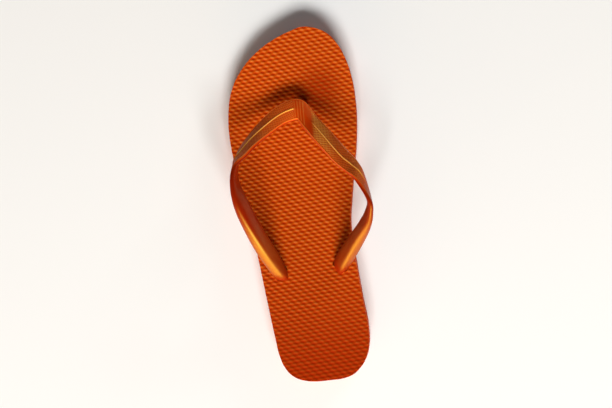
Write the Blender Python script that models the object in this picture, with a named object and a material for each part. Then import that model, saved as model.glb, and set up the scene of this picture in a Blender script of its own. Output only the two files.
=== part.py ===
"""A left flip-flop at rest on the floor, toe towards +Y, inner side of the foot towards +X.

Two pieces: a die-cut foam sole, and one moulded strap whose three plugs sit in recesses under the sole.
Places are given in millimetres, forward from the back of the heel and up from the floor, and at() turns
them into metres about the middle of the sole.
"""

import math
from collections import namedtuple

import bmesh
import bpy
from mathutils import Vector

MM = 0.001
SOLE_LENGTH = 270.0
HEEL_THICKNESS = 19.5
BALL_THICKNESS = 13.6
WEDGE_START = 55.0
WEDGE_END = 180.0
SPRING_START = 212.0
TOE_SPRING = 3.6
WALL_FLARE = 0.8
PROFILE_STEP = 10.0

TOE_STEM = 4.3
REAR_STEM = 3.4
PLUG_RADIUS = 10.0
PLUG_BOTTOM = 1.2
PLUG_TOP = 4.7
PLUG_EDGE = 0.7
RECESS_DEPTH = 5.0
GAP = 0.3
NECK = 0.8
DIMPLE_RADIUS = 12.0
DIMPLE_DEPTH = 1.5

RING_POINTS = 20
STEPS_PER_ROW = 4
EDGE_POWER = 0.62
OUTER_POWER = 0.45
CROWN_POWER = 0.85

# Where the three stems go through the sole: across, and forward from the heel.
TOE_HOLE = (5.0, 210.5)
LATERAL_HOLE = (-23.9, 84.6)
MEDIAL_HOLE = (20.5, 85.5)

# The middle of the post's flared head, in the plane of the band where the two arms meet.
POST_HEAD = (3.6, 207.6)
# The post's radius at shares of its free height.
POST_FLARE = [(4.5, 0.35), (4.8, 0.6), (5.4, 0.85), (6.0, 1.0)]

# The sole's plan: how far each side reaches from the centre line at a distance from the heel.
Station = namedtuple("Station", "forward lateral medial")
HEEL_TIP = (3.0, 0.0)
TOE_TIP = (12.0, 270.0)
PLAN = [
    Station(2.0, -16.6, 20.5),
    Station(6.5, -24.8, 27.2),
    Station(13.0, -29.8, 32.3),
    Station(22.0, -33.0, 35.8),
    Station(36.0, -34.9, 37.3),
    Station(60.0, -37.5, 35.5),
    Station(88.0, -40.3, 33.6),
    Station(115.0, -43.2, 32.6),
    Station(140.0, -46.6, 36.3),
    Station(165.0, -50.4, 41.3),
    Station(190.0, -53.1, 45.2),
    Station(210.0, -52.0, 46.4),
    Station(228.0, -47.4, 45.4),
    Station(243.0, -37.9, 42.2),
    Station(254.0, -26.2, 37.5),
    Station(262.5, -12.0, 31.0),
    Station(267.5, 1.0, 22.8),
]

# The strap's band, a row for each section: its middle, the direction from its lower edge to its upper
# edge, its width between those edges and its thickness.
Section = namedtuple("Section", "x y z up_x up_y up_z width thick")
LATERAL_ARM = [
    Section(-23.9, 84.6, 17.0, -0.30, -0.95, 0.00, 11.5, 7.0),
    Section(-24.6, 86.4, 21.0, -0.35, -0.90, 0.20, 12.5, 7.0),
    Section(-27.6, 93.0, 26.0, -0.45, -0.80, 0.40, 15.0, 6.8),
    Section(-36.6, 112.7, 40.0, -0.60, -0.55, 0.58, 15.4, 6.4),
    Section(-45.8, 138.5, 51.5, -0.55, -0.45, 0.70, 14.5, 5.6),
    Section(-49.2, 156.5, 51.0, -0.25, -0.20, 0.95, 13.5, 4.6),
    Section(-46.9, 169.1, 47.0, -0.06, -0.26, 0.96, 13.5, 3.8),
    Section(-41.8, 176.8, 41.3, 0.36, -0.41, 0.83, 14.0, 3.4),
    Section(-34.4, 185.1, 35.8, 0.43, -0.53, 0.73, 14.4, 3.3),
    Section(-24.7, 193.8, 30.8, 0.44, -0.75, 0.49, 14.6, 3.3),
    Section(-12.0, 202.6, 27.2, 0.36, -0.90, 0.25, 15.2, 3.6),
]
APEX = [
    Section(-0.5, 206.2, 26.0, 0.12, -0.97, 0.20, 16.6, 4.0),
    Section(4.8, 204.2, 26.0, -0.36, -0.89, 0.26, 16.6, 4.2),
]
MEDIAL_ARM = [
    Section(10.6, 194.6, 28.8, -0.68, -0.59, 0.41, 15.0, 3.6),
    Section(18.4, 183.6, 35.2, -0.72, -0.60, 0.32, 15.0, 3.3),
    Section(30.5, 166.5, 45.0, -0.67, -0.72, 0.17, 14.0, 3.4),
    Section(37.3, 158.2, 50.0, -0.60, -0.70, 0.39, 13.5, 3.5),
    Section(42.2, 150.2, 54.0, -0.37, -0.55, 0.75, 13.5, 3.6),
    Section(47.9, 132.0, 57.0, 0.00, -0.20, 0.98, 13.5, 3.8),
    Section(46.6, 122.6, 54.0, 0.20, -0.25, 0.95, 13.5, 4.8),
    Section(42.6, 114.5, 48.5, 0.40, -0.40, 0.82, 13.5, 5.8),
    Section(35.7, 105.4, 39.0, 0.60, -0.50, 0.62, 13.8, 6.6),
    Section(28.7, 96.5, 30.0, 0.70, -0.55, 0.45, 13.8, 7.0),
    Section(22.6, 88.6, 22.0, 0.75, -0.62, 0.20, 12.5, 7.2),
    Section(20.5, 85.5, 17.0, 0.75, -0.66, 0.00, 11.5, 7.2),
]


def at(x, y, z):
    """A place in millimetres from the heel, as metres about the middle of the sole."""
    return Vector((x, y - SOLE_LENGTH / 2, z)) * MM


def ramp(value, start, end):
    """Nought before start, one after end, and a smooth change between."""
    share = min(max((value - start) / (end - start), 0.0), 1.0)
    return share * share * (3.0 - 2.0 * share)


def bottom_height(y):
    """The underside: flat on the floor, then rising under the toes."""
    past = max(y - SPRING_START, 0.0) / (SOLE_LENGTH - SPRING_START)
    return TOE_SPRING * past * past


def top_height(y):
    """The footbed: high at the heel, lower at the ball, and rising with the toe spring."""
    drop = (HEEL_THICKNESS - BALL_THICKNESS) * ramp(y, WEDGE_START, WEDGE_END)
    return HEEL_THICKNESS - drop + bottom_height(y)


def clear_scene():
    for thing in list(bpy.data.objects):
        bpy.data.objects.remove(thing, do_unlink=True)


def collection(name, hidden):
    made = bpy.data.collections.new(name)
    bpy.context.scene.collection.children.link(made)
    made.hide_render = hidden
    return made


def material(name, colour, roughness):
    made = bpy.data.materials.new(name)
    made.use_nodes = True
    shader = made.node_tree.nodes["Principled BSDF"]
    shader.inputs["Base Color"].default_value = (*colour, 1.0)
    shader.inputs["Roughness"].default_value = roughness
    shader.inputs["Metallic"].default_value = 0.0
    return made


def mesh_object(name, mesh, group, finish=None):
    made = bpy.data.objects.new(name, mesh)
    group.objects.link(made)
    if finish:
        mesh.materials.append(finish)
    else:
        made.hide_render = True
        made.display_type = "WIRE"
    return made


def mesh_from(name, shape):
    """The mesh of a bmesh whose faces are all turned outwards."""
    bmesh.ops.recalc_face_normals(shape, faces=shape.faces)
    mesh = bpy.data.meshes.new(name)
    shape.to_mesh(mesh)
    shape.free()
    mesh.shade_smooth()
    mesh.set_sharp_from_angle(angle=math.radians(35.0))
    return mesh


def loft(name, rings):
    """A closed mesh through rings of equally many points, with a flat face on each end."""
    shape = bmesh.new()
    loops = [[shape.verts.new(point) for point in ring] for ring in rings]
    for low, high in zip(loops, loops[1:]):
        for k in range(len(low)):
            after = (k + 1) % len(low)
            shape.faces.new((low[k], low[after], high[after], high[k]))
    shape.faces.new(loops[0])
    shape.faces.new(loops[-1])
    return mesh_from(name, shape)


def boolean(target, tool, operation):
    cut = target.modifiers.new(f"{operation.lower()}_{tool.name}", "BOOLEAN")
    cut.operation = operation
    cut.solver = "EXACT"
    cut.object = tool


def plan_curve(group):
    """The sole's outline as a smooth closed curve, pulled up through the height of the slab."""
    lateral = [(row.lateral, row.forward) for row in PLAN]
    medial = [(row.medial, row.forward) for row in reversed(PLAN)]
    points = [HEEL_TIP, *lateral, TOE_TIP, *medial]
    curve = bpy.data.curves.new("sole_plan", "CURVE")
    curve.dimensions = "2D"
    curve.fill_mode = "BOTH"
    curve.resolution_u = 4
    curve.extrude = HEEL_THICKNESS * MM
    spline = curve.splines.new("BEZIER")
    spline.bezier_points.add(len(points) - 1)
    spline.use_cyclic_u = True
    for knot, (x, y) in zip(spline.bezier_points, points):
        knot.co = at(x, y, 0.0)
        knot.handle_left_type = "AUTO"
        knot.handle_right_type = "AUTO"
    drawn = bpy.data.objects.new("sole_plan", curve)
    group.objects.link(drawn)
    return drawn


def plan_block(group):
    """The cutting die: the outline as a solid, a little wider at the floor than at the footbed."""
    drawn = plan_curve(group)
    bpy.context.view_layer.update()
    evaluated = drawn.evaluated_get(bpy.context.evaluated_depsgraph_get())
    mesh = bpy.data.meshes.new_from_object(evaluated)
    bpy.data.objects.remove(drawn, do_unlink=True)
    shape = bmesh.new()
    shape.from_mesh(mesh)
    bmesh.ops.remove_doubles(shape, verts=shape.verts, dist=MM / 100)
    bmesh.ops.recalc_face_normals(shape, faces=shape.faces)
    outward = {}
    for vert in shape.verts:
        walls = [face.normal for face in vert.link_faces if abs(face.normal.z) < 0.5]
        outward[vert] = sum(walls, Vector()).normalized()
    for vert, way in outward.items():
        height = vert.co.z / (HEEL_THICKNESS * MM)
        vert.co -= way * WALL_FLARE * MM * height
    shape.to_mesh(mesh)
    shape.free()
    return mesh_object("die", mesh, group)


def side_slab(group, finish):
    """The foam sheet seen from the side, as wide as the sole needs: flat floor, wedge and toe spring."""
    steps = int(SOLE_LENGTH / PROFILE_STEP) + 2
    forward = [PROFILE_STEP * k - PROFILE_STEP for k in range(steps + 1)]
    top = [(y, top_height(y)) for y in forward]
    bottom = [(y, bottom_height(y)) for y in reversed(forward) if y > SPRING_START]
    profile = top + bottom + [(SPRING_START, 0.0), (forward[0], 0.0)]
    half_width = max(row.medial - row.lateral for row in PLAN)
    shape = bmesh.new()
    side = shape.faces.new([shape.verts.new(at(-half_width, y, z)) for y, z in profile])
    pulled = bmesh.ops.extrude_face_region(shape, geom=[side])
    moved = [part for part in pulled["geom"] if isinstance(part, bmesh.types.BMVert)]
    bmesh.ops.translate(shape, verts=moved, vec=(2 * half_width * MM, 0.0, 0.0))
    return mesh_object("sole", mesh_from("sole", shape), group, finish)


def cylinder(name, place, radius, bottom, top, group):
    """An upright round cutter."""
    shape = bmesh.new()
    bmesh.ops.create_cone(
        shape,
        cap_ends=True,
        segments=2 * RING_POINTS,
        radius1=radius * MM,
        radius2=radius * MM,
        depth=(top - bottom) * MM,
    )
    bmesh.ops.translate(shape, verts=shape.verts, vec=at(*place, (bottom + top) / 2))
    return mesh_object(name, mesh_from(name, shape), group)


def dimple(name, place, group):
    """The shallow dish that the pulled-in post makes in the footbed: the bottom of a flattened ball."""
    shape = bmesh.new()
    around = 2 * RING_POINTS
    bmesh.ops.create_uvsphere(shape, u_segments=around, v_segments=RING_POINTS, radius=1.0)
    half_height = 5.0
    spread = DIMPLE_RADIUS / math.sqrt(1 - (1 - DIMPLE_DEPTH / half_height) ** 2)
    bmesh.ops.scale(shape, verts=shape.verts, vec=Vector((spread, spread, half_height)) * MM)
    middle = top_height(place[1]) - DIMPLE_DEPTH + half_height
    bmesh.ops.translate(shape, verts=shape.verts, vec=at(*place, middle))
    return mesh_object(name, mesh_from(name, shape), group)


def cut_stem_hole(sole, side, place, radius, group):
    """A stem's hole up through the sole, with the plug's recess below it."""
    recess = cylinder(f"{side}_recess", place, PLUG_RADIUS + 1.0, -5.0, RECESS_DEPTH, group)
    hole = cylinder(f"{side}_hole", place, radius + GAP, -5.0, HEEL_THICKNESS + 5.0, group)
    boolean(sole, recess, "DIFFERENCE")
    boolean(sole, hole, "DIFFERENCE")


def turn_steps():
    """The angle of each point round a ring."""
    return [2 * math.pi * (k + 0.5) / RING_POINTS for k in range(RING_POINTS)]


def round_ring(middle, radius, up, out):
    """A circle whose points keep step with a band's ring that has the same up and out."""
    ring = []
    for angle in turn_steps():
        offset = (up * math.cos(angle) + out * math.sin(angle)) * radius
        ring.append(at(middle[0] + offset.x, middle[1] + offset.y, middle[2] + offset.z))
    return ring


def band_ring(section, path, grow=0.0):
    """The band's section: flat on its outer face, crowned on the foot's side, with rounded edges."""
    up = Vector((section.up_x, section.up_y, section.up_z)).normalized()
    out = up.cross(path).normalized()
    half = section.width / 2 + grow
    deep = section.thick / 2 + grow
    ring = []
    for angle in turn_steps():
        c, s = math.cos(angle), math.sin(angle)
        power = OUTER_POWER if s > 0 else CROWN_POWER
        across = math.copysign(abs(c) ** EDGE_POWER, c) * half
        out_by = math.copysign(abs(s) ** power, s) * deep
        offset = up * across + out * out_by
        ring.append(at(section.x + offset.x, section.y + offset.y, section.z + offset.z))
    return ring


def between(rows, row, share):
    """A section partway from one row to the next, on a smooth curve through all the rows."""
    last = len(rows) - 1
    before = Vector(rows[max(row - 1, 0)])
    start = Vector(rows[row])
    end = Vector(rows[row + 1])
    beyond = Vector(rows[min(row + 2, last)])
    linear = (end - before) * share
    square = (before * 2 - start * 5 + end * 4 - beyond) * share**2
    cube = (start * 3 - before - end * 3 + beyond) * share**3
    return Section(*(start + (linear + square + cube) / 2))


def band_sections():
    """All the band's sections from the lateral hole over the apex to the medial hole."""
    rows = [*LATERAL_ARM, *APEX, *MEDIAL_ARM]
    sections = []
    for row in range(len(rows) - 1):
        sections += [between(rows, row, step / STEPS_PER_ROW) for step in range(STEPS_PER_ROW)]
    return [*sections, rows[-1]]


def band_paths(sections):
    """The way the band runs at each section, straight up or down where it meets a hole."""
    last = len(sections) - 1
    paths = []
    for k in range(last + 1):
        before, after = sections[max(k - 1, 0)], sections[min(k + 1, last)]
        path = Vector((after.x - before.x, after.y - before.y, after.z - before.z)).normalized()
        upright = Vector((0.0, 0.0, 1.0 if k < last / 2 else -1.0))
        share = ramp(min(k, last - k), 0.0, 1.5 * STEPS_PER_ROW)
        paths.append(upright.lerp(path, share))
    return paths


def stem_rings(place, stem, neck_top, up, out):
    """Round rings from a plug's underside up its stem, with their points in step with a band's ring."""
    profile = [
        (PLUG_RADIUS - PLUG_EDGE, PLUG_BOTTOM),
        (PLUG_RADIUS, PLUG_BOTTOM + PLUG_EDGE),
        (PLUG_RADIUS, PLUG_TOP - PLUG_EDGE),
        (PLUG_RADIUS - PLUG_EDGE, PLUG_TOP),
        (stem, PLUG_TOP),
        (stem, neck_top),
    ]
    return [round_ring((*place, height), radius, up, out) for radius, height in profile]


def end_frame(section, path_z):
    up = Vector((section.up_x, section.up_y, section.up_z)).normalized()
    return up, up.cross(Vector((0.0, 0.0, path_z))).normalized()


def strap_band(group, finish):
    """Both arms with their stems and plugs, as one loft from plug to plug."""
    sections = band_sections()
    neck_top = sections[0].z - NECK
    first = stem_rings(LATERAL_HOLE, REAR_STEM, neck_top, *end_frame(sections[0], 1.0))
    last = stem_rings(MEDIAL_HOLE, REAR_STEM, neck_top, *end_frame(sections[-1], -1.0))
    band = [band_ring(section, path) for section, path in zip(sections, band_paths(sections))]
    rings = [*first, *band, *reversed(last)]
    return mesh_object("strap", loft("strap", rings), group, finish)


def toe_post(group):
    """The post between the toes: plug, stem and a flared head that runs into the apex."""
    foot = BALL_THICKNESS + 0.5
    head = APEX[-1].z - 0.4
    upright = Vector((0.0, -1.0, 0.0))
    tilted = Vector((0.0, -math.hypot(APEX[-1].up_x, APEX[-1].up_y), APEX[-1].up_z))
    across = Vector((1.0, 0.0, 0.0))
    rings = stem_rings(TOE_HOLE, TOE_STEM, foot, upright, across)
    for radius, share in POST_FLARE:
        lean = ramp(share, 0.0, 1.0)
        x = TOE_HOLE[0] + (POST_HEAD[0] - TOE_HOLE[0]) * lean
        y = TOE_HOLE[1] + (POST_HEAD[1] - TOE_HOLE[1]) * lean
        z = foot + (head - foot) * share
        rings.append(round_ring((x, y, z), radius, upright.lerp(tilted, lean).normalized(), across))
    return mesh_object("post", loft("post", rings), group)


def pocket_cutter(name, sections, paths, group):
    """The opening that the end of an arm plunges into: the arm's own shape, grown by the gap."""
    clear = top_height(sections[0].y) + 10.0
    floor = sections[0]._replace(z=sections[0].z - NECK - GAP)
    rings = [band_ring(floor, paths[0], GAP)]
    for section, path in zip(sections, paths):
        if section.z > clear:
            break
        rings.append(band_ring(section, path, GAP))
    return mesh_object(name, loft(name, rings), group)


def build():
    clear_scene()
    parts = collection("flip_flop_left", False)
    cutters = collection("cutters", True)
    foam = material("foam_orange", (0.56, 0.085, 0.006), 0.7)
    rubber = material("rubber_orange", (0.46, 0.06, 0.005), 0.35)

    sole = side_slab(parts, foam)
    boolean(sole, plan_block(cutters), "INTERSECT")
    sections = band_sections()
    paths = band_paths(sections)
    boolean(sole, pocket_cutter("lateral_pocket", sections, paths, cutters), "DIFFERENCE")
    boolean(sole, pocket_cutter("medial_pocket", sections[::-1], paths[::-1], cutters), "DIFFERENCE")
    boolean(sole, dimple("toe_dimple", TOE_HOLE, cutters), "DIFFERENCE")
    cut_stem_hole(sole, "lateral", LATERAL_HOLE, REAR_STEM, cutters)
    cut_stem_hole(sole, "medial", MEDIAL_HOLE, REAR_STEM, cutters)
    cut_stem_hole(sole, "toe", TOE_HOLE, TOE_STEM, cutters)

    strap = strap_band(parts, rubber)
    boolean(strap, toe_post(cutters), "UNION")


build()
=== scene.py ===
import math

import bmesh
import bpy
import numpy as np
from mathutils import Matrix, Vector


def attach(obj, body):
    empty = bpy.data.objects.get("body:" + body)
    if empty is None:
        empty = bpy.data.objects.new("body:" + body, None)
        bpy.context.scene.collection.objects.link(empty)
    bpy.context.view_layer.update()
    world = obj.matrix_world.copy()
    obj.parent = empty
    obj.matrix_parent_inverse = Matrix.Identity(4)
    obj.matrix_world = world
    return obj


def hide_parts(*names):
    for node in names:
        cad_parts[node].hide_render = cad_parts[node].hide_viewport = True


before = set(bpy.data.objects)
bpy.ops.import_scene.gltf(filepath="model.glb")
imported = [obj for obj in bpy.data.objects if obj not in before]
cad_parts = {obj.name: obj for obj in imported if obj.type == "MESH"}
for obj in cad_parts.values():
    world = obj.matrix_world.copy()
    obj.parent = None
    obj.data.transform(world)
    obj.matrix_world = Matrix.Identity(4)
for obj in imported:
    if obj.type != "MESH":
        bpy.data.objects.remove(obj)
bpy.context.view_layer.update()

# ---------------------------------------------------------------- the foam sole
# One die-cut sheet of soft EVA foam, thick at the heel and thin at the ball. A hot press has left
# rows of low slanting grains on its top, the knife has bared the foam's cells round its edge, and
# wavy tread grooves run across the underside. Three holes take the strap's stems.

MM = 0.001

# In millimetres. The heel's extra thickness runs out between the two places of WEDGE, and the toe
# springs up from SPRING_START on.
SOLE_LENGTH = 270.0
HEEL_THICKNESS = 19.5
BALL_THICKNESS = 13.6
WEDGE = (55.0, 180.0)
SPRING_START = 212.0
TOE_SPRING = 3.6
# The wall is wider at the floor than at the footbed, and is trimmed to stay within the plain solid.
WALL_FLARE = 0.8
WALL_TRIM = 0.1

# The outline: forward from the heel, then out to the outer and the inner side of the foot.
HEEL_TIP = (3.0, 0.0)
TOE_TIP = (12.0, 270.0)
PLAN = [
    (2.0, -16.6, 20.5),
    (6.5, -24.8, 27.2),
    (13.0, -29.8, 32.3),
    (22.0, -33.0, 35.8),
    (36.0, -34.9, 37.3),
    (60.0, -37.5, 35.5),
    (88.0, -40.3, 33.6),
    (115.0, -43.2, 32.6),
    (140.0, -46.6, 36.3),
    (165.0, -50.4, 41.3),
    (190.0, -53.1, 45.2),
    (210.0, -52.0, 46.4),
    (228.0, -47.4, 45.4),
    (243.0, -37.9, 42.2),
    (254.0, -26.2, 37.5),
    (262.5, -12.0, 31.0),
    (267.5, 1.0, 22.8),
]
TOE_HOLE = (5.0, 210.5)

# The pressed grains: how far apart along a row, how far apart the rows, and how far a row leans.
# Furrows between the rows and slanting furrows across them leave the grains standing. A furrow goes
# down twice its figure, and even the crests lie a little below the plain solid's top.
GRAIN_PITCH = 5.2
ROW_PITCH = 2.83
ROW_LEAN = math.radians(3.1)
CREST_DEPTH = 0.04
ROW_DEPTH = 0.12
SLANT_DEPTH = 0.175
# How many steps of the mesh draw one grain along its row, and one row.
GRAIN_STEPS = 7
ROW_STEPS = 6
# The shallow dish round the post.
DISH_DEPTH = 2.0
DISH_REACH = 16.0

# The tread's grooves, and how far and how long they wave.
TREAD_PITCH = 5.0
TREAD_WIDTH = 1.6
TREAD_DEPTH = 0.7
TREAD_WAVE = (1.6, 14.0)


def at(x, y, z):
    """A place in millimetres from the heel, as metres about the middle of the sole."""
    return Vector((x, y - SOLE_LENGTH / 2, z)) * MM


def ramp(value, start, end):
    """Nought before start, one after end, and a smooth change between."""
    share = min(max((value - start) / (end - start), 0.0), 1.0)
    return share * share * (3.0 - 2.0 * share)


def bottom_height(y):
    """The underside's height above the floor."""
    past = max(y - SPRING_START, 0.0) / (SOLE_LENGTH - SPRING_START)
    return TOE_SPRING * past * past


def top_height(y):
    """The footbed's height above the floor, before it is pressed."""
    return HEEL_THICKNESS - (HEEL_THICKNESS - BALL_THICKNESS) * ramp(y, *WEDGE) + bottom_height(y)


def pressed_depth(x, y):
    """How far the press has sunk the footbed at a place: the furrows, and the dish round the post."""
    along = x * math.cos(ROW_LEAN) + y * math.sin(ROW_LEAN)
    over = y * math.cos(ROW_LEAN) - x * math.sin(ROW_LEAN)
    row = math.cos(2 * math.pi * over / ROW_PITCH)
    slant = math.cos(2 * math.pi * along / GRAIN_PITCH + math.pi * over / ROW_PITCH)
    from_post = math.hypot(x - TOE_HOLE[0], y - TOE_HOLE[1])
    dish = DISH_DEPTH * (1.0 - ramp(from_post, 0.0, DISH_REACH))
    return CREST_DEPTH + ROW_DEPTH * (1.0 - row) + SLANT_DEPTH * (1.0 - slant) + dish


def made_object(name, shape):
    """An object from a bmesh, which it uses up."""
    mesh = bpy.data.meshes.new(name)
    shape.to_mesh(mesh)
    shape.free()
    made = bpy.data.objects.new(name, mesh)
    bpy.context.scene.collection.objects.link(made)
    return made


def cut(target, tool, operation):
    """Changes the target's mesh by the tool's, and throws the tool away."""
    change = target.modifiers.new(operation.lower(), "BOOLEAN")
    change.operation = operation
    change.solver = "MANIFOLD"
    change.object = tool
    bpy.context.view_layer.update()
    mesh = bpy.data.meshes.new_from_object(
        target.evaluated_get(bpy.context.evaluated_depsgraph_get())
    )
    target.modifiers.clear()
    target.data = mesh
    bpy.data.objects.remove(tool, do_unlink=True)


# The sheet before the die is larger than the sole all round, and its foot lies below the floor.
SHEET_WIDTH = 150.0
SHEET_LENGTH = 320.0
SHEET_FOOT = -10.0
# A grid made at this size is one unit wide.
UNIT_GRID = 0.5


def pressed_sheet():
    """The pressed top on a plain block, in rows that lean with the pattern."""
    columns = round(SHEET_WIDTH / GRAIN_PITCH * GRAIN_STEPS)
    rows = round(SHEET_LENGTH / ROW_PITCH * ROW_STEPS)
    width = columns * GRAIN_PITCH / GRAIN_STEPS
    length = rows * ROW_PITCH / ROW_STEPS
    shape = bmesh.new()
    bmesh.ops.create_grid(
        shape,
        x_segments=columns,
        y_segments=rows,
        size=UNIT_GRID,
        matrix=Matrix.Rotation(ROW_LEAN, 4, "Z") @ Matrix.Diagonal((width, length, 1.0, 1.0)),
    )
    for vert in shape.verts:
        x = vert.co.x
        y = vert.co.y + SOLE_LENGTH / 2
        vert.co = at(x, y, top_height(y) - pressed_depth(x, y))
    rim = [edge for edge in shape.edges if edge.is_boundary]
    pulled = bmesh.ops.extrude_edge_only(shape, edges=rim)["geom"]
    for part in pulled:
        if isinstance(part, bmesh.types.BMVert):
            part.co.z = SHEET_FOOT * MM
    foot = [edge for edge in shape.edges if edge.is_boundary]
    bmesh.ops.holes_fill(shape, edges=foot, sides=0)
    bmesh.ops.recalc_face_normals(shape, faces=shape.faces)
    return made_object("foam_sole", shape)


# How many short straight lines stand for the curve between two places of the outline.
DIE_STEPS = 14
# The die reaches this far up and down, well past the sheet's top and the floor.
DIE_REACH = 1.5 * HEEL_THICKNESS
# A face leans less than this from upright where it belongs to the wall.
WALL_LEAN = 0.5
# Points nearer than this are one point.
DIE_MERGE = MM / 100


def cutting_die():
    """The outline as a block with smooth walls, a little wider at the floor than at the footbed."""
    outer = [(row[1], row[0]) for row in PLAN]
    inner = [(row[2], row[0]) for row in reversed(PLAN)]
    points = [HEEL_TIP, *outer, TOE_TIP, *inner]
    curve = bpy.data.curves.new("die", "CURVE")
    curve.dimensions = "2D"
    curve.fill_mode = "BOTH"
    curve.resolution_u = DIE_STEPS
    curve.extrude = DIE_REACH * MM
    spline = curve.splines.new("BEZIER")
    spline.bezier_points.add(len(points) - 1)
    spline.use_cyclic_u = True
    for knot, (x, y) in zip(spline.bezier_points, points):
        knot.co = at(x, y, 0.0)
        knot.handle_left_type = "AUTO"
        knot.handle_right_type = "AUTO"
    drawn = bpy.data.objects.new("die", curve)
    bpy.context.scene.collection.objects.link(drawn)
    bpy.context.view_layer.update()
    mesh = bpy.data.meshes.new_from_object(
        drawn.evaluated_get(bpy.context.evaluated_depsgraph_get())
    )
    bpy.data.objects.remove(drawn, do_unlink=True)
    shape = bmesh.new()
    shape.from_mesh(mesh)
    bmesh.ops.remove_doubles(shape, verts=shape.verts, dist=DIE_MERGE)
    bmesh.ops.recalc_face_normals(shape, faces=shape.faces)
    outward = {}
    for vert in shape.verts:
        walls = [face.normal for face in vert.link_faces if abs(face.normal.z) < WALL_LEAN]
        outward[vert] = sum(walls, Vector()).normalized()
    for vert, way in outward.items():
        height = vert.co.z / (HEEL_THICKNESS * MM)
        vert.co -= way * (WALL_TRIM + WALL_FLARE * height) * MM
    return made_object("die", shape)


# Loose corners nearer than this are one corner.
SAME_POINT = MM / 1000


def solid_copy(node):
    """A closed copy of a CAD node, whose triangles come loose."""
    shape = bmesh.new()
    shape.from_mesh(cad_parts[node].data)
    bmesh.ops.remove_doubles(shape, verts=shape.verts, dist=SAME_POINT)
    return made_object(f"{node}_copy", shape)


# Each bar of the tread's tool is longer than the sole is wide, bends in steps along its waves, and
# reaches down past the floor.
BAR_LENGTH = 130.0
BAR_STEPS = 52
BAR_DEPTH = 5.0


def tread_comb():
    """The wavy bars that leave the tread's grooves, following the underside up under the toes."""
    shape = bmesh.new()
    count = int(SOLE_LENGTH / TREAD_PITCH)
    for k in range(1, count):
        size = Matrix.Diagonal((BAR_LENGTH, TREAD_WIDTH, 1.0, 1.0))
        place = Matrix.Translation((0.0, TREAD_PITCH * k, 0.0)) @ size
        bmesh.ops.create_grid(shape, x_segments=BAR_STEPS, y_segments=1, size=UNIT_GRID, matrix=place)
    rise, length = TREAD_WAVE
    for vert in shape.verts:
        y = vert.co.y + rise * math.sin(2 * math.pi * vert.co.x / length)
        vert.co = at(vert.co.x, y, bottom_height(y) + TREAD_DEPTH)
    pulled = bmesh.ops.extrude_face_region(shape, geom=shape.faces[:], use_keep_orig=True)["geom"]
    low = [part for part in pulled if isinstance(part, bmesh.types.BMVert)]
    bmesh.ops.translate(shape, verts=low, vec=(0.0, 0.0, -BAR_DEPTH * MM))
    bmesh.ops.recalc_face_normals(shape, faces=shape.faces)
    return made_object("tread", shape)


sole = pressed_sheet()
cut(sole, cutting_die(), "INTERSECT")
cut(sole, solid_copy("sole"), "INTERSECT")
cut(sole, tread_comb(), "DIFFERENCE")


def linear(code):
    """An sRGB hex colour as the four linear values that a shader takes."""
    parts = [int(code[k : k + 2], 16) / 255 for k in (0, 2, 4)]
    return (*(c / 12.92 if c <= 0.04045 else ((c + 0.055) / 1.055) ** 2.4 for c in parts), 1.0)


def add(tree, kind, settings=None, **links):
    """A node with its settings, its sockets' values, and links into its sockets from other nodes'.

    A socket goes by its name, or by its number after a line, as _6 and _7 for a mix's two colours.
    """
    node = tree.nodes.new(kind)
    for name, value in (settings or {}).items():
        setattr(node, name, value)
    for name, value in links.items():
        key = int(name[1:]) if name[1:].isdigit() else name.replace("_", " ")
        socket = node.inputs[key]
        if isinstance(value, bpy.types.NodeSocket):
            tree.links.new(value, socket)
        else:
            socket.default_value = value
    return node


def new_material(name):
    """An empty material, and the tree that takes its nodes."""
    made = bpy.data.materials.new(name)
    made.use_nodes = True
    made.node_tree.nodes.clear()
    return made, made.node_tree


# The footbed skin: EVA foam that a hot press has closed. It is matt with a faint waxy shine. A painted
# highlight makes the tops of the grains paler, painted shade makes the furrows deeper and redder, and
# painted shade makes the skin darker towards the heel and beside the post.

# The pattern runs from -2 down in a furrow to 2 up on a grain, and these are where the painted furrow
# shade and the painted highlight on the grains each start and are full.
FURROW_SHADE_SPAN = (1.4, -2.2)
CREST_HIGHLIGHT_SPAN = (0.4, 2.0)
CREST_HIGHLIGHT_MOST = 0.36
# Forward from the heel, where the painted heel shade starts to go and where it has gone.
HEEL_SHADE_FADE = (-36.0, 147.0)
# A painted shadow makes the skin darker beside the post: where it lies, how far it reaches, how near it
# is full, and how strong it is.
POST_SHADOW_CENTRE = (20.0, 221.0, 14.0)
POST_SHADOW_REACH = 25.0
POST_SHADOW_CORE = 3.0
POST_SHADOW_STRENGTH = 0.65
# Faint clouds in the tone, and the fine grain of the skin.
SKIN_CLOUD = 25.0
SKIN_GRAIN = 0.4545
footbed_skin, tree = new_material("pressed EVA foam skin")
place = add(tree, "ShaderNodeTexCoord").outputs["Object"]
turned = add(
    tree,
    "ShaderNodeMapping",
    Vector=place,
    Location=(0.0, SOLE_LENGTH / 2 * MM, 0.0),
)
squared = add(
    tree,
    "ShaderNodeMapping",
    Vector=turned.outputs["Vector"],
    Rotation=(0.0, 0.0, -ROW_LEAN),
)
spread = add(tree, "ShaderNodeSeparateXYZ", Vector=squared.outputs["Vector"]).outputs
over_turns = add(
    tree, "ShaderNodeMath", {"operation": "MULTIPLY"}, _0=spread[1], _1=math.pi / (ROW_PITCH * MM)
).outputs[0]
slant_turns = add(
    tree, "ShaderNodeMath", {"operation": "MULTIPLY_ADD"},
    _0=spread[0], _1=2 * math.pi / (GRAIN_PITCH * MM), _2=over_turns,
).outputs[0]
row_turns = add(
    tree, "ShaderNodeMath", {"operation": "MULTIPLY"}, _0=over_turns, _1=2.0
).outputs[0]
row_wave = add(tree, "ShaderNodeMath", {"operation": "COSINE"}, _0=row_turns).outputs[0]
slant_wave = add(tree, "ShaderNodeMath", {"operation": "COSINE"}, _0=slant_turns).outputs[0]
raised = add(tree, "ShaderNodeMath", {"operation": "ADD"}, _0=row_wave, _1=slant_wave).outputs[0]
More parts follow.
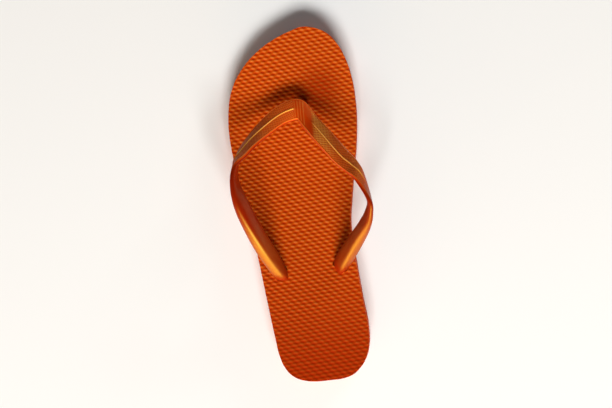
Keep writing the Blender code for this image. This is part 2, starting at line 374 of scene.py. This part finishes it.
# Painted shade: the furrows are coloured deeper and redder.
furrow_shade_share = add(
    tree, "ShaderNodeMapRange", {"interpolation_type": "SMOOTHSTEP"},
    Value=raised, From_Min=FURROW_SHADE_SPAN[0], From_Max=FURROW_SHADE_SPAN[1],
).outputs["Result"]
# Painted highlight: the tops of the grains are coloured paler.
crest_highlight = add(
    tree, "ShaderNodeMapRange", {"interpolation_type": "SMOOTHSTEP"},
    Value=raised, From_Min=CREST_HIGHLIGHT_SPAN[0], From_Max=CREST_HIGHLIGHT_SPAN[1], To_Max=CREST_HIGHLIGHT_MOST,
).outputs["Result"]
patch = add(
    tree, "ShaderNodeTexNoise", Vector=place, Scale=1 / (SKIN_CLOUD * MM), Detail=3.0
).outputs["Fac"]
fresh_tone = add(
    tree, "ShaderNodeMix", {"data_type": "RGBA"},
    Factor=patch, _6=linear("CC500A"), _7=linear("D2580E"),
).outputs[2]
# The painted highlight's tone.
crest_highlight_tone = add(
    tree, "ShaderNodeMix", {"data_type": "RGBA"},
    Factor=crest_highlight, _6=fresh_tone, _7=linear("F09A50"),
).outputs[2]
forward = add(tree, "ShaderNodeSeparateXYZ", Vector=turned.outputs["Vector"]).outputs[1]
# Painted shade: the skin is coloured darker towards the heel.
out_of_heel_shade = add(
    tree, "ShaderNodeMapRange", {"interpolation_type": "SMOOTHERSTEP"},
    Value=forward, From_Min=HEEL_SHADE_FADE[0] * MM, From_Max=HEEL_SHADE_FADE[1] * MM,
).outputs["Result"]
heel_shaded_tone = add(
    tree, "ShaderNodeMix", {"data_type": "RGBA"},
    Factor=out_of_heel_shade, _6=linear("942000"), _7=crest_highlight_tone,
).outputs[2]
# Painted shadow: the skin is coloured darker beside the post.
from_post_shadow = add(
    tree, "ShaderNodeVectorMath", {"operation": "DISTANCE"}, _0=place, _1=at(*POST_SHADOW_CENTRE)
).outputs["Value"]
post_shadow_share = add(
    tree, "ShaderNodeMapRange", {"interpolation_type": "SMOOTHSTEP"},
    Value=from_post_shadow, From_Min=POST_SHADOW_REACH * MM, From_Max=POST_SHADOW_CORE * MM, To_Max=POST_SHADOW_STRENGTH,
).outputs["Result"]
post_shadowed_tone = add(
    tree, "ShaderNodeMix", {"data_type": "RGBA"},
    Factor=post_shadow_share, _6=heel_shaded_tone, _7=linear("8A2000"),
).outputs[2]
# The painted shade in the furrows.
furrow_shade_tone = add(
    tree, "ShaderNodeMix", {"data_type": "RGBA"},
    Factor=furrow_shade_share, _6=post_shadowed_tone, _7=linear("AC1E00"),
).outputs[2]
grain = add(
    tree, "ShaderNodeTexNoise", Vector=place, Scale=1 / (SKIN_GRAIN * MM), Detail=2.0
).outputs["Fac"]
bump = add(tree, "ShaderNodeBump", Height=grain, Strength=0.25, Distance=0.08 * MM)
shader = add(
    tree, "ShaderNodeBsdfPrincipled",
    Base_Color=furrow_shade_tone, Roughness=0.65, Normal=bump.outputs["Normal"],
    Specular_IOR_Level=0.2, Specular_Tint=linear("FFD850"),
    Subsurface_Weight=0.2, Subsurface_Radius=(1.0, 0.25, 0.05), Subsurface_Scale=1.5 * MM,
)
add(tree, "ShaderNodeOutputMaterial", Surface=shader.outputs[0])

# The cut edge and the underside: the same foam where the knife has opened its cells, so it is dull
# and finely pitted. The cells are drawn coarser than real ones, so that they show.
FOAM_CELL = 0.7143
FOAM_CLOUD = 16.67
cut_foam, tree = new_material("cut EVA foam")
place = add(tree, "ShaderNodeTexCoord").outputs["Object"]
cells = add(
    tree, "ShaderNodeTexVoronoi", Vector=place, Scale=1 / (FOAM_CELL * MM)
).outputs["Distance"]
patch = add(
    tree, "ShaderNodeTexNoise", Vector=place, Scale=1 / (FOAM_CLOUD * MM), Detail=4.0
).outputs["Fac"]
tone = add(
    tree, "ShaderNodeMix", {"data_type": "RGBA"},
    Factor=patch, _6=linear("BC4000"), _7=linear("C84800"),
).outputs[2]
bump = add(tree, "ShaderNodeBump", Height=cells, Strength=0.3, Distance=0.15 * MM)
shader = add(
    tree, "ShaderNodeBsdfPrincipled",
    Base_Color=tone, Roughness=0.8, Normal=bump.outputs["Normal"],
    Specular_IOR_Level=0.12,
)
add(tree, "ShaderNodeOutputMaterial", Surface=shader.outputs[0])

# A face belongs to the pressed top where it looks up at least this much and lies this near the top.
LOOKS_UP = 0.35
TOP_BAND = 4.0
CRISP_EDGE = math.radians(35.0)


def finish_sole(piece):
    """Tells the pressed top from the cut foam, and shades each smooth with a crisp edge between."""
    mesh = piece.data
    mesh.materials.clear()
    mesh.materials.append(footbed_skin)
    mesh.materials.append(cut_foam)
    shape = bmesh.new()
    shape.from_mesh(mesh)
    for face in shape.faces:
        middle = face.calc_center_median() / MM
        y = middle.y + SOLE_LENGTH / 2
        on_top = face.normal.z > LOOKS_UP and middle.z > top_height(y) - TOP_BAND
        face.material_index = 0 if on_top else 1
        face.smooth = True
    for edge in shape.edges:
        sides = edge.link_faces
        if len(sides) == 2:
            both_top = sides[0].material_index == 0 and sides[1].material_index == 0
            edge.smooth = both_top or edge.calc_face_angle(0.0) < CRISP_EDGE
    shape.to_mesh(mesh)
    shape.free()


finish_sole(sole)
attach(sole, "root")
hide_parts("sole")

# ---------------------------------------------------------------- the strap
# One moulding of soft glossy rubber: two arms that rise from plugs under the arch, meet between the
# toes and run down the post to a third plug. In front its outer face has beads along both edges, a
# ridge down the middle and a fine diamond knurl between them. The rear arms are plain and glossy.

# The band from the outer hole over the meeting point to the inner hole: its middle, the direction
# from its lower edge to its upper edge, its width and its thickness.
BAND = [
    (-23.9, 84.6, 17.0, -0.30, -0.95, 0.00, 11.5, 7.0),
    (-24.6, 86.4, 21.0, -0.35, -0.90, 0.20, 12.5, 7.0),
    (-27.6, 93.0, 26.0, -0.45, -0.80, 0.40, 15.0, 6.8),
    (-36.6, 112.7, 40.0, -0.60, -0.55, 0.58, 15.4, 6.4),
    (-45.8, 138.5, 51.5, -0.55, -0.45, 0.70, 14.5, 5.6),
    (-49.2, 156.5, 51.0, -0.25, -0.20, 0.95, 13.5, 4.6),
    (-46.9, 169.1, 47.0, -0.06, -0.26, 0.96, 13.5, 3.8),
    (-41.8, 176.8, 41.3, 0.36, -0.41, 0.83, 14.0, 3.4),
    (-34.4, 185.1, 35.8, 0.43, -0.53, 0.73, 14.4, 3.3),
    (-24.7, 193.8, 30.8, 0.44, -0.75, 0.49, 14.6, 3.3),
    (-12.0, 202.6, 27.2, 0.36, -0.90, 0.25, 15.2, 3.6),
    (-0.5, 206.2, 26.0, 0.12, -0.97, 0.20, 16.6, 4.0),
    (4.8, 204.2, 26.0, -0.36, -0.89, 0.26, 16.6, 4.2),
    (10.6, 194.6, 28.8, -0.68, -0.59, 0.41, 15.0, 3.6),
    (18.4, 183.6, 35.2, -0.72, -0.60, 0.32, 15.0, 3.3),
    (30.5, 166.5, 45.0, -0.67, -0.72, 0.17, 14.0, 3.4),
    (37.3, 158.2, 50.0, -0.60, -0.70, 0.39, 13.5, 3.5),
    (42.2, 150.2, 54.0, -0.37, -0.55, 0.75, 13.5, 3.6),
    (47.9, 132.0, 57.0, 0.00, -0.20, 0.98, 13.5, 3.8),
    (46.6, 122.6, 54.0, 0.20, -0.25, 0.95, 13.5, 4.8),
    (42.6, 114.5, 48.5, 0.40, -0.40, 0.82, 13.5, 5.8),
    (35.7, 105.4, 39.0, 0.60, -0.50, 0.62, 13.8, 6.6),
    (28.7, 96.5, 30.0, 0.70, -0.55, 0.45, 13.8, 7.0),
    (22.6, 88.6, 22.0, 0.75, -0.62, 0.20, 12.5, 7.2),
    (20.5, 85.5, 17.0, 0.75, -0.66, 0.00, 11.5, 7.2),
]
# The rows, counted from nought, where the arms meet and where each arm stands on its edge.
APEX_ROW = 11.6
OUTER_WAIST = 5.5
INNER_WAIST = 18.0
OUTER_HOLE = (-23.9, 84.6)
INNER_HOLE = (20.5, 85.5)
# The radius of the stems, and how far below an arm's end its stem stops.
TOE_STEM = 4.3
REAR_STEM = 3.4
NECK = 0.8
# Each plug's radius and height, from its underside up to where the stem leaves it.
PLUG = [
    (7.0, 1.2), (9.0, 1.2), (9.5, 1.3), (9.9, 1.6), (10.0, 2.0),
    (10.0, 3.9), (9.9, 4.3), (9.5, 4.6), (9.0, 4.7), (6.0, 4.7),
]
# The stem above its plug: a small foot first, and then its full length.
STEM_FOOT = (0.5, 4.75)
STEM_START = 5.3
# The toe post, from the footbed up into the arms: its radius at shares of its height.
POST_START = BALL_THICKNESS + 0.5
POST_TOP = 25.8
POST_HEAD = (3.6, 207.6)
POST_FLARE = [
    (4.35, 0.1), (4.4, 0.22), (4.5, 0.35), (4.6, 0.48), (4.8, 0.6),
    (5.05, 0.72), (5.4, 0.85), (5.7, 0.93), (6.0, 1.0),
]
# Which way the post's top faces, where it leans back to meet the arms.
POST_TILT = (0.0, -math.hypot(0.50, 0.78), 0.38)

# The powers that square up the band's section: its edges, its outer face and its foot's side.
EDGE_POWER = 0.62
OUTER_POWER = 0.45
CROWN_POWER = 0.85
# Behind, the foot's side is full and round, fullest towards the upper edge.
FULL_POWER = 1.5
FULLNESS = 1.4
FULL_LEAN = 0.45
OUTER_REAR = (2.6, 4.6)
INNER_REAR = (19.4, 21.4)
# The rows over which an end of the band turns to stand square to its stem.
END_TURN = 1.5
# The mesh: points round the section, the length of a step in front and behind, the rows that one
# takes to turn into the other, and how far ahead along the rows a step's pace is measured.
OUTER_FACE_POINTS = 45
FOOT_SIDE_POINTS = 26
FRONT_STEP = 0.30
REAR_STEP = 0.9
STEP_BLEND = 0.9
NUDGE = 0.01
# A point whose sine is no more than this lies on the band's edge, and not on its outer face.
EDGE_SINE = 1e-6

# The pattern of the outer face comes in and goes out along the rows, at each waist.
PATTERN_IN = (OUTER_WAIST - 0.3, OUTER_WAIST + 1.0)
PATTERN_OUT = (INNER_WAIST - 1.2, INNER_WAIST + 0.2)
# A bead along each edge, a ridge on a low roof, and diamond knurl that stops short of both.
BEAD_INSET = 0.75
BEAD_WIDTH = 0.45
BEAD_HEIGHT = 0.50
RIDGE_WIDTH = 0.50
RIDGE_HEIGHT = 0.75
ROOF = 0.8
KNURL_PITCH = 1.85
KNURL_DEPTH = 0.40
KNURL_SHARPNESS = 3
KNURL_FROM_EDGE = (1.2, 1.7)
KNURL_FROM_RIDGE = (0.5, 0.9)
# The tab where the arms meet, across the shoe and along the rows, with flutes over its outer part.
TAB_IN = (-1.5, 0.0)
TAB_OUT = (10.0, 14.0)
TAB_FIRST_ROWS = (10.0, 10.5)
TAB_LAST_ROWS = (13.6, 14.2)
FLUTE_PITCH = 2.0
FLUTE_DEPTH = 0.22
FLUTES_END = (7.0, 8.0)
FLUTES_FROM_EDGE = (1.2, 2.2)
# How much each thing is painted lighter: the plain face between, which is painted lighter than the
# smooth arms behind for the light the pattern scatters, and the beads and the flutes, which carry
# painted glints. The knurl's tips carry painted glints too, strongest on the inner arm near where the
# arms meet.
PAINTED_FRONT_LIGHT = 0.4
BEAD_GLINT = 0.4
FLUTE_GLINT = 0.3
TIP_GLINT_SHARPNESS = 6
OUTER_TIP_GLINT = 0.4
INNER_TIP_GLINT = 0.8
TIP_GLINT_IN = (4.0, 12.0)
TIP_GLINT_OUT = (18.0, 30.0)


def band_angles():
    """Angles round the band's section: even steps across the outer face, even turns round the rest."""
    shares = [1.0 - 2.0 * (k + 0.5) / OUTER_FACE_POINTS for k in range(OUTER_FACE_POINTS)]
    outer = [math.acos(math.copysign(abs(a) ** (1 / EDGE_POWER), a)) for a in shares]
    foot = [math.pi * (1 + k / (FOOT_SIDE_POINTS - 1)) for k in range(FOOT_SIDE_POINTS)]
    return np.array(outer + foot)


ANGLES = band_angles()


def smooth_share(values, start, end):
    """What ramp gives, for many values at once."""
    share = np.clip((values - start) / (end - start), 0.0, 1.0)
    return share * share * (3.0 - 2.0 * share)


def band_row(place):
    """The band's section at a place along its rows, on a smooth curve through all of them."""
    last = len(BAND) - 1
    row = min(int(place), last - 1)
    share = place - row
    before, start, end, beyond = (
        np.array(BAND[min(max(row + k, 0), last)]) for k in (-1, 0, 1, 2)
    )
    linear_part = (end - before) * share
    square = (before * 2 - start * 5 + end * 4 - beyond) * share**2
    cube = (start * 3 - before - end * 3 + beyond) * share**3
    return start + (linear_part + square + cube) / 2


def band_stations():
    """Places along the rows: close together in front, where the knurl is, and wider behind."""
    last = len(BAND) - 1.0
    place = 0.0
    places = [place]
    while place < last:
        here = band_row(place)[:3]
        ahead = band_row(min(place + NUDGE, last))[:3]
        pace = max(np.linalg.norm(ahead - here) / NUDGE, 1.0)
        front = ramp(place, OUTER_WAIST - STEP_BLEND, OUTER_WAIST)
        front *= 1 - ramp(place, INNER_WAIST, INNER_WAIST + STEP_BLEND)
        place += (REAR_STEP + (FRONT_STEP - REAR_STEP) * front) / pace
        places.append(min(place, last))
    return places


def outer_relief(row, run, across, half, x):
    """How far the outer face stands proud, and how much of it is painted lighter as lit pattern and
    painted glints.
    """
    shown = ramp(row, *PATTERN_IN) * (1 - ramp(row, *PATTERN_OUT))
    tab = smooth_share(x, *TAB_IN) * (1 - smooth_share(x, *TAB_OUT))
    tab = tab * ramp(row, *TAB_FIRST_ROWS) * (1 - ramp(row, *TAB_LAST_ROWS))
    from_edge = half - np.abs(across)
    beads = BEAD_HEIGHT * np.exp(-(((from_edge - BEAD_INSET) / BEAD_WIDTH) ** 2))
    ridge = RIDGE_HEIGHT * np.exp(-((across / RIDGE_WIDTH) ** 2))
    roof = ROOF * (1 - np.abs(across) / half)
    net = np.maximum(
        np.abs(np.cos(np.pi * (run + across) / KNURL_PITCH)),
        np.abs(np.cos(np.pi * (run - across) / KNURL_PITCH)),
    )
    field = smooth_share(from_edge, *KNURL_FROM_EDGE)
    field = field * smooth_share(np.abs(across), *KNURL_FROM_RIDGE)
    knurl = KNURL_DEPTH * net**KNURL_SHARPNESS * field
    flutes = FLUTE_DEPTH * (0.5 + 0.5 * np.cos(2 * np.pi * x / FLUTE_PITCH))
    flutes = flutes * (1 - smooth_share(x, *FLUTES_END)) * smooth_share(from_edge, *FLUTES_FROM_EDGE)
    relief = shown * (beads + (ridge + knurl) * (1 - tab) + roof + flutes * tab)
    inner = smooth_share(x, *TIP_GLINT_IN) * (1 - smooth_share(x, *TIP_GLINT_OUT))
    glint_share = OUTER_TIP_GLINT + (INNER_TIP_GLINT - OUTER_TIP_GLINT) * inner
    tips = glint_share * net**TIP_GLINT_SHARPNESS * field
    lines = BEAD_GLINT * beads / BEAD_HEIGHT + (ridge / RIDGE_HEIGHT + tips) * (1 - tab)
    lines = lines + FLUTE_GLINT * flutes / FLUTE_DEPTH * tab
    return relief, shown * (PAINTED_FRONT_LIGHT + (1 - PAINTED_FRONT_LIGHT) * np.minimum(lines, 1.0))


def band_ring(row, section, path, run):
    """One ring of the band, with its relief on the outer face."""
    middle = section[:3]
    up = section[3:6] / np.linalg.norm(section[3:6])
    out = np.cross(up, path)
    out /= np.linalg.norm(out)
    half = section[6] / 2
    deep = section[7] / 2
    c = np.cos(ANGLES)
    s = np.sin(ANGLES)
    across = np.sign(c) * np.abs(c) ** EDGE_POWER * half
    flat = np.abs(s) ** OUTER_POWER * deep
    even = np.abs(s) ** CROWN_POWER * deep
    full = np.abs(s) ** FULL_POWER * deep * FULLNESS * (1 + FULL_LEAN * across / half)
    rear = 1 - ramp(row, *OUTER_REAR) + ramp(row, *INNER_REAR)
    proud = np.where(s > 0, flat, -even * (1 - rear) - full * rear)
    ring = middle + np.outer(across, up) + np.outer(proud, out)
    relief, lines = outer_relief(row, run, across, half, ring[:, 0])
    outer = s > EDGE_SINE
    return ring + np.outer(np.where(outer, relief, 0.0), out), np.where(outer, lines, 0.0)


def round_ring(middle, radius, up, out):
    """A circle whose points keep step with the band's."""
    return np.array(middle) + radius * (np.outer(np.cos(ANGLES), up) + np.outer(np.sin(ANGLES), out))


def stem_rings(place, stem, neck_top, up, out):
    """A plug and the stem that stands on it, from below."""
    wider, foot_height = STEM_FOOT
    heights = (STEM_START, (STEM_START + neck_top) / 2, neck_top)
    profile = [*PLUG, (stem + wider, foot_height), *((stem, height) for height in heights)]
    return [round_ring((*place, height), radius, up, out) for radius, height in profile]


def band_rings():
    """Every ring from the outer plug over the meeting point to the inner plug."""
    places = band_stations()
    sections = [band_row(place) for place in places]
    last = len(sections) - 1
    middles = np.array([section[:3] for section in sections])
    runs = np.concatenate([[0.0], np.cumsum(np.linalg.norm(np.diff(middles, axis=0), axis=1))])
    rings = []
    for k, (place, section) in enumerate(zip(places, sections)):
        path = middles[min(k + 1, last)] - middles[max(k - 1, 0)]
        path = path / np.linalg.norm(path)
        upright = np.array([0.0, 0.0, 1.0 if place < APEX_ROW else -1.0])
        share = ramp(min(place, len(BAND) - 1 - place), 0.0, END_TURN)
        rings.append(band_ring(place, section, upright * (1 - share) + path * share, runs[k]))
    ends = []
    for hole, section, way in ((OUTER_HOLE, sections[0], 1.0), (INNER_HOLE, sections[-1], -1.0)):
        up = section[3:6] / np.linalg.norm(section[3:6])
        out = np.cross(up, (0.0, 0.0, way))
        ends.append(stem_rings(hole, REAR_STEM, section[2] - NECK, up, out / np.linalg.norm(out)))
    plain = np.zeros(len(ANGLES))
    stems = [[(ring, plain) for ring in end] for end in ends]
    return [*stems[0], *rings, *reversed(stems[1])]


def wrapped(name, rings):
    """A closed skin: a grid wrapped round the rings, joined along its seam and filled at both ends.

    Each ring comes with how much each of its points is painted lighter, as lit pattern and painted
    glints.
    """
    around = len(ANGLES)
    along = len(rings)
    shape = bmesh.new()
    # How much each point is painted lighter, as lit pattern and painted glints.
    painted_light = shape.verts.layers.float.new("painted_light")
    bmesh.ops.create_grid(shape, x_segments=along - 1, y_segments=around, size=UNIT_GRID)
    for vert in shape.verts:
        places, lines = rings[round((vert.co.x + UNIT_GRID) * (along - 1))]
        step = round((vert.co.y + UNIT_GRID) * around) % around
        vert.co = at(*places[step])
        vert[painted_light] = lines[step]
    bmesh.ops.remove_doubles(shape, verts=shape.verts, dist=SAME_POINT)
    bmesh.ops.holes_fill(shape, edges=[edge for edge in shape.edges if edge.is_boundary], sides=0)
    bmesh.ops.recalc_face_normals(shape, faces=shape.faces)
    return made_object(name, shape)


def post_rings():
    """The toe post: its plug and stem, and then the flare that leans back into the arms."""
    upright = np.array([0.0, -1.0, 0.0])
    tilted = np.array(POST_TILT)
    side = np.array([1.0, 0.0, 0.0])
    rings = stem_rings(TOE_HOLE, TOE_STEM, POST_START, upright, side)
    for radius, share in POST_FLARE:
        lean = ramp(share, 0.0, 1.0)
        x = TOE_HOLE[0] + (POST_HEAD[0] - TOE_HOLE[0]) * lean
        y = TOE_HOLE[1] + (POST_HEAD[1] - TOE_HOLE[1]) * lean
        up = upright * (1 - lean) + tilted * lean
        middle = (x, y, POST_START + (POST_TOP - POST_START) * share)
        rings.append(round_ring(middle, radius, up / np.linalg.norm(up), side))
    return [(ring, np.zeros(len(ANGLES))) for ring in rings]


strap = wrapped("moulded_strap", band_rings())
cut(strap, wrapped("post", post_rings()), "UNION")
strap.data.shade_smooth()
SHARP_EDGE = math.radians(60.0)
strap.data.set_sharp_from_angle(angle=SHARP_EDGE)

# The strap's rubber: soft injection-moulded PVC, a deeper orange than the foam. It has a dull shine
# in front, on the pattern, and a broad golden gloss on top of the smooth arms behind. Its IOR is
# above PVC's own 1.54 to give that gloss, and the export keeps the shine even all over.

# The gloss comes in between these two places forward from the heel, and between these two heights.
GLOSS_FORWARD = (130.0, 96.0)
GLOSS_HEIGHT = (16.0, 29.0)
# The shine of the patterned front, and what the gloss adds to it.
PLAIN_SHINE = 0.25
ADDED_GLOSS = 0.75
FRONT_ROUGHNESS = 0.36
GLOSS_ROUGHNESS = 0.48
# Faint clouds in the tone, and the fine grain of the moulded skin.
RUBBER_CLOUD = 28.57
RUBBER_GRAIN = 1.111
strap_rubber, tree = new_material("injection-moulded soft PVC")
place = add(tree, "ShaderNodeTexCoord").outputs["Object"]
cloud = add(
    tree, "ShaderNodeTexNoise", Vector=place, Scale=1 / (RUBBER_CLOUD * MM), Detail=3.0
).outputs["Fac"]
tone = add(
    tree, "ShaderNodeMix", {"data_type": "RGBA"},
    Factor=cloud, _6=linear("8C1400"), _7=linear("961800"),
).outputs[2]
# The strap's painted light: a lighter front face, and painted glints on its pattern.
painted_light = add(tree, "ShaderNodeAttribute", {"attribute_name": "painted_light"}).outputs["Fac"]
patterned = add(
    tree, "ShaderNodeMapRange", {"interpolation_type": "SMOOTHSTEP"},
    Value=painted_light, From_Min=0.0, From_Max=PAINTED_FRONT_LIGHT,
).outputs["Result"]
# Painted light: the patterned front is coloured lighter than the arms behind.
lit_front_tone = add(
    tree, "ShaderNodeMix", {"data_type": "RGBA"},
    Factor=patterned, _6=tone, _7=linear("CC3600"),
).outputs[2]
glint_share = add(
    tree, "ShaderNodeMapRange", {"interpolation_type": "SMOOTHSTEP"},
    Value=painted_light, From_Min=PAINTED_FRONT_LIGHT, From_Max=1.0,
).outputs["Result"]
# Painted glints on the beads, the ridge, the flutes and the knurl.
glint_tone = add(
    tree, "ShaderNodeMix", {"data_type": "RGBA"},
    Factor=glint_share, _6=lit_front_tone, _7=linear("FFB048"),
).outputs[2]
grain = add(
    tree, "ShaderNodeTexNoise", Vector=place, Scale=1 / (RUBBER_GRAIN * MM), Detail=3.0
).outputs["Fac"]
bump = add(tree, "ShaderNodeBump", Height=grain, Strength=0.2, Distance=0.1 * MM)
spread = add(tree, "ShaderNodeSeparateXYZ", Vector=place).outputs
behind = add(
    tree, "ShaderNodeMapRange", {"interpolation_type": "SMOOTHSTEP"},
    Value=spread[1], From_Min=at(0, GLOSS_FORWARD[0], 0).y, From_Max=at(0, GLOSS_FORWARD[1], 0).y,
).outputs["Result"]
above = add(
    tree, "ShaderNodeMapRange", {"interpolation_type": "SMOOTHSTEP"},
    Value=spread[2], From_Min=GLOSS_HEIGHT[0] * MM, From_Max=GLOSS_HEIGHT[1] * MM, To_Max=ADDED_GLOSS,
).outputs["Result"]
shine = add(
    tree, "ShaderNodeMath", {"operation": "MULTIPLY_ADD"}, _0=behind, _1=above, _2=PLAIN_SHINE
).outputs[0]
roughness = add(
    tree, "ShaderNodeMapRange",
    Value=shine, From_Min=PLAIN_SHINE, From_Max=PLAIN_SHINE + ADDED_GLOSS,
    To_Min=FRONT_ROUGHNESS, To_Max=GLOSS_ROUGHNESS,
).outputs["Result"]
shader = add(
    tree, "ShaderNodeBsdfPrincipled",
    Base_Color=glint_tone, Roughness=roughness, Normal=bump.outputs["Normal"],
    IOR=1.8, Specular_IOR_Level=shine, Specular_Tint=linear("FFDC50"),
    Subsurface_Weight=0.2, Subsurface_Radius=(1.0, 0.25, 0.05), Subsurface_Scale=2 * MM,
)
add(tree, "ShaderNodeOutputMaterial", Surface=shader.outputs[0])
strap.data.materials.clear()
strap.data.materials.append(strap_rubber)

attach(strap, "root")
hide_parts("strap")

# ---------------------------------------------------------------- the studio
# A plain matt white floor and a dim even room. A soft key lamp stands behind the heel, a long warm
# lamp low beside it, and a small faint one in front of the toes on the inner side.

# Half the floor's width, in metres.
FLOOR_HALF = 3.0
# Faint clouds in the floor's paint.
FLOOR_CLOUD = 333.3
floor_shape = bmesh.new()
bmesh.ops.create_grid(floor_shape, x_segments=1, y_segments=1, size=FLOOR_HALF)
floor = made_object("floor", floor_shape)
floor_paint, tree = new_material("matt white studio floor")
place = add(tree, "ShaderNodeTexCoord").outputs["Object"]
mottle = add(
    tree, "ShaderNodeTexNoise", Vector=place, Scale=1 / (FLOOR_CLOUD * MM), Detail=2.0
).outputs["Fac"]
tone = add(
    tree, "ShaderNodeMix", {"data_type": "RGBA"},
    Factor=mottle, _6=linear("F4F4F2"), _7=linear("F7F7F5"),
).outputs[2]
shader = add(tree, "ShaderNodeBsdfPrincipled", Base_Color=tone, Roughness=0.8)
add(tree, "ShaderNodeOutputMaterial", Surface=shader.outputs[0])
floor.data.materials.append(floor_paint)


def lamp(name, toward, distance, size, power, colour="FFFFFF"):
    """A broad soft lamp at a distance in the given direction, turned to the middle of the sole."""
    light = bpy.data.lights.new(name, "AREA")
    light.color = linear(colour)[:3]
    light.shape = "RECTANGLE"
    light.size = size[0]
    light.size_y = size[1]
    light.energy = power
    hung = bpy.data.objects.new(name, light)
    bpy.context.scene.collection.objects.link(hung)
    way = Vector(toward).normalized()
    aim = way.to_track_quat("Z", "Y").to_matrix().to_4x4()
    hung.matrix_world = Matrix.Translation(way * distance) @ aim


# Each lamp's direction, distance and size in metres, power in watts, and colour.
lamp("key", (0.02, -0.735, 0.68), 4.0, (2.4, 1.2), 206.0)
lamp("low_lamp", (-0.32, -0.93, 0.17), 4.0, (6.0, 0.8), 155.0, "FFD8A4")
lamp("toe_lamp", (0.66, 0.7, 0.27), 3.0, (1.2, 0.6), 20.0)

# The room's own light.
ROOM_LIGHT = 0.06
world = bpy.data.worlds.new("room")
world.use_nodes = True
bpy.context.scene.world = world
background = world.node_tree.nodes["Background"]
background.inputs["Color"].default_value = linear("FFFFFF")
background.inputs["Strength"].default_value = ROOM_LIGHT
bpy.context.scene.view_settings.view_transform = "Standard"

# The camera looks down at the footbed's middle from 1.2 m above the floor, a little to the inner side
# and the heel, and is rolled so that the toe points up and a little to the left of the view.
CAMERA_PLACE = Vector((0.047, -0.037, 1.2))
CAMERA_AIM = Vector((0.0, 0.0, 0.016))
CAMERA_TOP = Vector((0.11043, 0.99388, 0.0))
camera_data = bpy.data.cameras.new("camera")
camera_data.lens = 92.0
camera_data.sensor_width = 36.0
camera = bpy.data.objects.new("camera", camera_data)
bpy.context.scene.collection.objects.link(camera)
back = (CAMERA_PLACE - CAMERA_AIM).normalized()
right = CAMERA_TOP.cross(back).normalized()
turn = Matrix((right, back.cross(right), back)).transposed()
camera.matrix_world = Matrix.Translation(CAMERA_PLACE) @ turn.to_4x4()
bpy.context.scene.camera = camera
